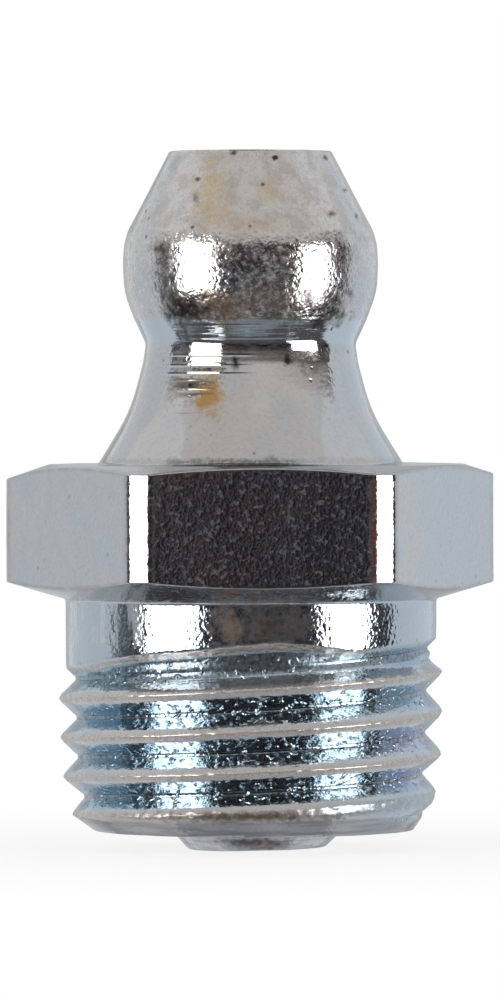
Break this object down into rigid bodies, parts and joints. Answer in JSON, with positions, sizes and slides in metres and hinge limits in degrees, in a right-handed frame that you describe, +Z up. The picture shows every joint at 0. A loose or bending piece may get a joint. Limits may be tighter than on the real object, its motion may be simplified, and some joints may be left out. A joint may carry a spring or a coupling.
{
  "type": "grease nipple",
  "caption": "Straight grease nipple with a spring-loaded check ball, hexagon and short tapered thread, screwed in to lubricate a bearing or joint.",
  "frame": {"origin": "centre of the end ring's lower face, on the axis, where the nipple stands", "axes": "+Z up the nipple's axis from the thread's end to the grease inlet, one flat of the hexagon faces -Y, and two corners point along X"},
  "size_m": [0.0124, 0.011, 0.0178],
  "materials": {
    "plated_steel": "zinc plated with a pale blue passivation, turned surface with fine tool marks",
    "ball_steel": "polished hardened steel",
    "spring_steel": "drawn spring wire"
  },
  "bodies": {
    "body": {"nipple_body": "plated_steel", "valve_spring": "spring_steel"},
    "ball": {"check_ball": "ball_steel"}
  },
  "joints": [
    {"name": "ball_travel", "type": "slide", "parent": "body", "child": "ball", "axis": [0, 0, -1], "range_m": [0, 0.0008], "stiffness_N_per_m": 400, "deforming": ["valve_spring"]}
  ]
}
